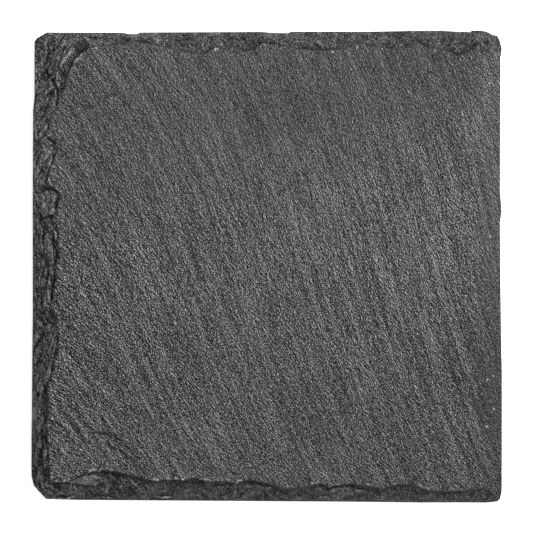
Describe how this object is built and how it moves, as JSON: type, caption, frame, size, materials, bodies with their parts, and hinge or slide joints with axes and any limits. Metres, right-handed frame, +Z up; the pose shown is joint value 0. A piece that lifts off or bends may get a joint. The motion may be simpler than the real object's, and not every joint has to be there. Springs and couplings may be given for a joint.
{
  "type": "slate slab",
  "caption": "Square slab of split slate with knapped edges on stick-on rubber pads: a small flat stone to work, press or stand things on.",
  "frame": {"origin": "middle of the slab's footprint, on the surface that the pads stand on", "axes": "+Z up, square to the cleft face; +X to the right and +Y to the back, along the slab's sides"},
  "size_m": [0.0996, 0.1001, 0.0077],
  "materials": {
    "split_slate": "matte",
    "pad_rubber": "matte",
    "adhesive_film": "satin"
  },
  "bodies": {
    "root": {"slate_slab": "split_slate", "rubber_pad_front_left": "pad_rubber", "rubber_pad_front_right": "pad_rubber", "rubber_pad_back_left": "pad_rubber", "rubber_pad_back_right": "pad_rubber", "adhesive_disc_front_left": "adhesive_film", "adhesive_disc_front_right": "adhesive_film", "adhesive_disc_back_left": "adhesive_film", "adhesive_disc_back_right": "adhesive_film"}
  },
  "joints": []
}
